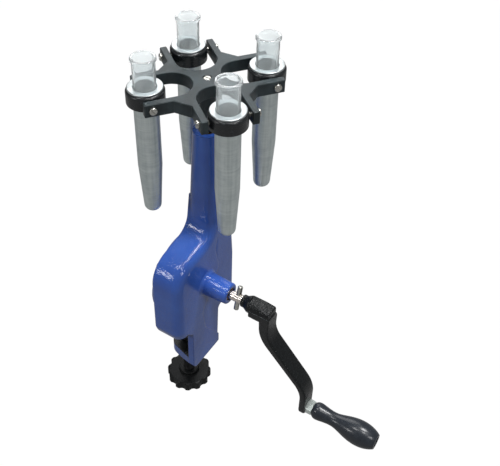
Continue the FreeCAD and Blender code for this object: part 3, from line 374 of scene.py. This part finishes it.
# The boss fillet
# The pattern maker's fillet where the crank boss leaves the case. It is part of the casting,
# and its enamel is a little thicker there.
def lathe(outline, segments, origin, axis="Z"):
    """A mesh edit of an outline of (radius, height) turned about an axis through a point."""
    shape = bmesh.new()
    rings = []
    for i in range(segments):
        turn = Matrix.Rotation(2 * math.pi * i / segments, 4, "Z")
        points = [turn @ Vector((radius, 0, height)) for radius, height in outline]
        rings.append([shape.verts.new(point) for point in points])
    for i in range(segments):
        here = rings[i]
        there = rings[(i + 1) % segments]
        for j in range(len(outline) - 1):
            shape.faces.new((here[j], there[j], there[j + 1], here[j + 1]))
    bmesh.ops.remove_doubles(shape, verts=shape.verts, dist=1e-7)
    if axis == "X":
        bmesh.ops.transform(shape, matrix=Matrix.Rotation(math.pi / 2, 4, "Y"), verts=shape.verts)
    bmesh.ops.translate(shape, vec=origin, verts=shape.verts)
    return shape


CASE_FACE_X = 0.0135
BOSS_ROOT = 0.01036
BOSS_DRAFT = 0.045
FILLET = 0.0030
FILLET_SINK = 0.00004
FILLET_STEPS = 16
FILLET_SKIRT = 0.0005
FILLET_SEGMENTS = 96
TURNED_CREASE = 60.0
crank_joint = next(joint for joint in frame["joints"] if joint["name"] == "crank_spin")
crank_axis = Vector(crank_joint["pos_m"])
fillet_outline = [(BOSS_ROOT + FILLET + FILLET_SKIRT, -2 * FILLET_SINK)]
for step in range(FILLET_STEPS + 1):
    angle = math.pi / 2 * step / FILLET_STEPS
    out = BOSS_ROOT + FILLET * (1 - math.sin(angle)) - FILLET_SINK
    rise = FILLET * (1 - math.cos(angle)) - FILLET_SINK
    fillet_outline.append((out - rise * BOSS_DRAFT, rise))
fillet_end = FILLET + FILLET_SKIRT
fillet_outline.append((BOSS_ROOT - fillet_end * BOSS_DRAFT - 2 * FILLET_SINK, fillet_end))
fillet_place = Vector((CASE_FACE_X, crank_axis.y, crank_axis.z))
fillet = lathe(fillet_outline, FILLET_SEGMENTS, fillet_place, "X")
build("boss_fillet", fillet, enamel, "frame", TURNED_CREASE)


# The gear cover
# A turned iron disc on the side away from the crank, sprayed with the casting.
# Four slotted screws of plated steel hold it.
dress("gear_cover", enamel)
plated = Finish("plated_steel", Metallic=1.0)
plated_wear = plated.noise(700.0, 4.0)
plated_scratches = plated.noise(1.0, 2.0, plated.stretched(300.0, 2600.0, 2600.0))
plated.set("Roughness", 0.16 + plated_wear * 0.2)
plated.set("Base Color", plated.mix(plated_wear, linear(160, 158, 152), linear(214, 214, 208)))
plated.bump(plated_wear * 0.6 + plated_scratches * 0.4, 0.00006, 0.6)
dress("cover_screws", plated)


# The bushes and the worm wheel
# Oiled bronze. The bushes are pressed into the casting and its cover, and only their ends show.
bronze = Finish("oiled_bronze", Metallic=1.0)
bronze_grain = bronze.noise(900.0, 3.0)
bronze.set("Base Color", bronze.mix(bronze_grain, linear(96, 68, 36), linear(150, 114, 64)))
bronze.set("Roughness", 0.3 + bronze_grain * 0.2)
for node in ("top_bush", "foot_bush", "boss_bush", "cover_bush", "worm_wheel"):
    dress(node, bronze)


# The spindle and the crank shaft
# Ground bright steel, with the worm pressed on the spindle, and pins through the crank shaft.
ground = Finish("ground_steel", Metallic=1.0)
ground_lines = ground.noise(1.0, 3.0, ground.stretched(5200.0, 420.0, 420.0))
ground_wear = ground.noise(240.0, 3.0)
ground.set("Base Color", ground.mix(ground_lines, linear(206, 196, 188), linear(244, 236, 228)))
ground.set("Roughness", 0.14 + ground_lines * 0.14 + ground_wear * 0.1)
ground.bump(ground_lines, 0.00003, 0.5)
for node in ("spindle", "worm", "thrust_ball", "wheel_pin", "crank_shaft"):
    dress(node, ground)
dress("cross_pin", plated)


# The rotor head
# Cut from aluminium plate and anodised black. The flat top shows the fine cross grain of the
# cutter and catches the light as a soft grey. Its broken edges are painted brighter: a little wear,
# and a painted highlight.
anodised = Finish("black_anodised", Metallic=0.35)
milled = anodised.noise(1.0, 3.0, anodised.stretched(260.0, 3000.0, 700.0))
dye = anodised.ramp(anodised.noise(70.0, 4.0), 0.35, 0.7)
handled = anodised.ramp(anodised.noise(420.0, 5.0), 0.62, 0.74)
anodised_black = anodised.mix(dye, linear(36, 44, 47), linear(58, 69, 73))
anodised_black = anodised.mix(handled * 0.25, anodised_black, linear(98, 106, 108))
# Lighter colour along the edges: a little wear, and a painted highlight.
worn_edge_and_highlight = anodised.edge(0.0005) * 0.45
anodised.set("Base Color", anodised.mix(worn_edge_and_highlight, anodised_black, linear(128, 136, 138)))
anodised.set("Roughness", 0.34 + milled * 0.14 + dye * 0.06)
anodised.bump(milled, 0.00006, 0.5, 0.0003)
dress("rotor_head", anodised)
dress("rotor_screw", plated)
dress("pivot_screws", plated)


# The trunnion rings
# Turned aluminium, anodised black and polished: each one swings on two pivot screws.
HOLDERS = range(1, 5)
polished = Finish("polished_anodised", Metallic=0.0)
turning = polished.noise(1.0, 2.0, polished.stretched(90.0, 90.0, 4200.0))
scuffs = polished.ramp(polished.noise(380.0, 5.0), 0.6, 0.75)
ring_black = polished.mix(turning, linear(15, 17, 19), linear(34, 37, 40))
polished.set("Base Color", polished.mix(scuffs * 0.4, ring_black, linear(78, 84, 88)))
polished.set("Roughness", 0.2 + turning * 0.14 + scuffs * 0.2)
polished.bump(turning, 0.00004, 0.5)
for number in HOLDERS:
    dress("trunnion_ring_%d" % number, polished)


# The buckets
# Spun from thin aluminium, so fine rings run round them. Soft streaks down them are painted
# reflections.
# The rim is turned bright, and rests on the trunnion ring.
RIM_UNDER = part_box("trunnion_ring_1")[1][2]
spun = Finish("spun_aluminium", Metallic=1.0)
spun_lines = spun.noise(1.0, 3.0, spun.stretched(60.0, 60.0, 3600.0))
spun_bands = spun.noise(1.0, 2.0, spun.stretched(30.0, 30.0, 420.0))
# Painted reflection: soft vertical streaks in the wall's colour.
streak_reflections = spun.noise(1.0, 3.0, spun.stretched(420.0, 420.0, 14.0))
stains = spun.ramp(spun.noise(130.0, 4.0), 0.45, 0.75)
tone = spun.ramp(spun_lines * 0.35 + spun_bands * 0.2 + streak_reflections * 0.45, 0.34, 0.66)
wall_grey = spun.mix(tone, linear(186, 196, 196), linear(226, 234, 233))
wall_grey = spun.mix(stains * 0.35, wall_grey, linear(164, 176, 182))
on_rim = spun.ramp(spun.along("Z"), RIM_UNDER - 0.0002, RIM_UNDER + 0.0001)
spun.set("Base Color", spun.mix(on_rim, wall_grey, linear(184, 189, 190)))
spun.set("Roughness", 0.33 + spun_lines * 0.1 + stains * 0.1 - on_rim * 0.06)
spun.bump(spun_lines * 0.7 + spun_bands * 0.3, 0.00007, 0.6)
for number in HOLDERS:
    dress("bucket_%d" % number, spun)


# The cushions
# Moulded black rubber at the foot of each bucket, where the tube's tip rests.
rubber = Finish("black_rubber")
rubber_grain = rubber.noise(1200.0, 3.0)
rubber.set("Base Color", rubber.mix(rubber_grain, linear(18, 18, 18), linear(34, 34, 34)))
rubber.set("Roughness", 0.7 + rubber_grain * 0.2)
rubber.bump(rubber_grain, 0.0001, 0.4)
for number in HOLDERS:
    dress("cushion_%d" % number, rubber)


# The tubes
# Drawn glass with a beaded lip and a conical foot. It is clear, and a little blue at its edges.
glass = Finish("clear_glass", Base_Color=(0.93, 0.97, 0.98, 1.0), IOR=1.47, Transmission_Weight=0.82)
glass_film = glass.ramp(glass.noise(90.0, 4.0), 0.45, 0.8)
glass_waves = glass.noise(1.0, 2.0, glass.stretched(200.0, 200.0, 30.0))
glass.set("Roughness", 0.008 + glass_film * 0.03)
glass.bump(glass_waves, 0.00006, 0.4)
for number in HOLDERS:
    dress("glass_tube_%d" % number, glass)


# The crank
# A rough iron casting under black paint: collar, round head with its sloping flat, and
# gooseneck arm. A grub screw locks it on the shaft.
cast_black = Finish("black_cast_paint", Specular_IOR_Level=0.32)
lumps = cast_black.noise(620.0, 4.0, roughness=0.62)
grit = cast_black.ramp(cast_black.noise(1900.0, 3.0), 0.3, 0.8)
hollows = cast_black.noise(150.0, 2.0)
paint = cast_black.mix(cast_black.ramp(lumps, 0.35, 0.7), linear(9, 11, 12), linear(24, 28, 30))
# Lighter grey on the lumps along the edges: paint rubbed through, and a painted highlight of the
# edge glints.
rubbed_edge_and_highlight = cast_black.edge(0.0006) * cast_black.ramp(lumps, 0.42, 0.62)
cast_black.set("Base Color", cast_black.mix(rubbed_edge_and_highlight * 0.5, paint, linear(96, 104, 108)))
cast_black.set("Roughness", 0.14 + lumps * 0.2)
cast_black.bump(lumps * 0.55 + hollows * 0.33 + grit * 0.12, 0.0007, 0.9, 0.0007)
dress("crank_arm", cast_black)
FLARE_START = crank_axis + Vector((0.0215, 0.0, 0.0))
FLARE_LENGTH = 0.0062
COLLAR_RADIUS = 0.0053
HEAD_RADIUS = 0.0076
FLARE_STEPS = 12
FLARE_SEGMENTS = 64
flare_outline = []
for step in range(FLARE_STEPS + 1):
    share = step / FLARE_STEPS
    swell = (1 - math.cos(math.pi * share)) / 2
    radius = COLLAR_RADIUS + (HEAD_RADIUS - COLLAR_RADIUS) * swell
    flare_outline.append((radius, FLARE_LENGTH * share))
flare = lathe(flare_outline, FLARE_SEGMENTS, FLARE_START, "X")
build("crank_flare", flare, cast_black, "crank", TURNED_CREASE)
black_oxide = Finish("blackened_steel", Metallic=0.6)
oxide_grain = black_oxide.noise(900.0, 4.0)
black_oxide.set("Base Color", black_oxide.mix(oxide_grain, linear(18, 18, 20), linear(44, 44, 46)))
black_oxide.set("Roughness", 0.32 + oxide_grain * 0.2)
black_oxide.bump(oxide_grain, 0.00004, 0.4)
dress("crank_grub_screw", black_oxide)


# The handle's bolt and nut
# Zinc plated: the nut locks the bolt to the arm, and the bolt is the grip's axle.
zinc = Finish("zinc_plate", Metallic=0.7)
zinc_clouds = zinc.noise(420.0, 3.0)
zinc.set("Base Color", zinc.mix(zinc_clouds, linear(204, 216, 212), linear(238, 246, 242)))
zinc.set("Roughness", 0.26 + zinc_clouds * 0.2)
zinc.bump(zinc_clouds, 0.00008, 0.4)
dress("hex_nut", zinc)
dress("handle_bolt", zinc)


# The grip
# Turned black plastic, polished bright. It spins freely on its bolt.
gloss_black = Finish("gloss_black_plastic")
gloss_wear = gloss_black.noise(260.0, 4.0)
grip_grain = gloss_black.noise(1.0, 3.0, gloss_black.stretched(1600.0, 160.0, 160.0))
hairlines = gloss_black.ramp(grip_grain, 0.62, 0.85)
grip_black = gloss_black.mix(gloss_wear, linear(28, 32, 38), linear(48, 54, 62))
gloss_black.set("Base Color", gloss_black.mix(hairlines * 0.2, grip_black, linear(70, 75, 84)))
gloss_black.set("Roughness", 0.24 + gloss_wear * 0.06)
dress("handle_grip", gloss_black, None)


# The clamp
# A blackened screw with a rolled thread, a swivel pad at its top, and a lobed knob of
# moulded plastic pressed on its foot.
SCREW_PITCH = 0.0015
SCREW_CREST = 0.00498
SCREW_ROOT = 0.00425
NECK_RADIUS = 0.0030
NECK_LENGTH = 0.0030
SHOULDER_BREAK = 0.0005
THREAD_STOP = 0.0012
THREAD_SINK = 0.0001
THREAD_SEGMENTS = 40
SCREW_CREASE = 30.0
screw_low, screw_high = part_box("clamp_screw")
screw_axis = Vector(((screw_low[0] + screw_high[0]) / 2, (screw_low[1] + screw_high[1]) / 2, 0.0))
shoulder = screw_high[2] - NECK_LENGTH
screw_outline = [
    (0.0, screw_low[2]),
    (SCREW_ROOT, screw_low[2]),
    (SCREW_ROOT, shoulder - SHOULDER_BREAK),
    (SCREW_ROOT - SHOULDER_BREAK, shoulder),
    (NECK_RADIUS, shoulder),
    (NECK_RADIUS, screw_high[2]),
    (0.0, screw_high[2]),
]
screw = lathe(screw_outline, THREAD_SEGMENTS, screw_axis)
FLANK_FOOT = 0.42
CREST_HALF = 0.12
thread_profile = [(-FLANK_FOOT, 0.0), (-CREST_HALF, 1.0), (CREST_HALF, 1.0), (FLANK_FOOT, 0.0)]
thread_low = screw_low[2] + SCREW_PITCH
turns = int((shoulder - THREAD_STOP - thread_low) / SCREW_PITCH)
thread_foot = SCREW_ROOT - THREAD_SINK
thread_depth = SCREW_CREST - thread_foot
previous = None
for step in range(turns * THREAD_SEGMENTS + 1):
    angle = 2 * math.pi * step / THREAD_SEGMENTS
    fade = min(1.0, step / THREAD_SEGMENTS, turns - step / THREAD_SEGMENTS)
    row = []
    for along, out in thread_profile:
        radius = thread_foot + thread_depth * out * fade
        level = thread_low + SCREW_PITCH * (step / THREAD_SEGMENTS + along)
        point = Vector((radius * math.cos(angle), radius * math.sin(angle), level))
        row.append(screw.verts.new(screw_axis + point))
    if previous:
        for j in range(len(row) - 1):
            screw.faces.new((previous[j], row[j], row[j + 1], previous[j + 1]))
    previous = row
threaded = build("threaded_screw", screw, black_oxide, "clamp", SCREW_CREASE)
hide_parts("clamp_screw")
dress("pressure_pad", black_oxide)
satin_black = Finish("satin_black_plastic", Specular_IOR_Level=0.16)
satin_grain = satin_black.noise(1300.0, 3.0)
flow = satin_black.noise(60.0, 3.0)
moulding = satin_grain * 0.6 + flow * 0.4
satin_black.set("Base Color", satin_black.mix(moulding, linear(14, 15, 16), linear(34, 36, 37)))
satin_black.set("Roughness", 0.3 + satin_grain * 0.14 + flow * 0.08)
satin_black.bump(satin_grain, 0.00006, 0.5, 0.0005)
dress("clamp_knob", satin_black)
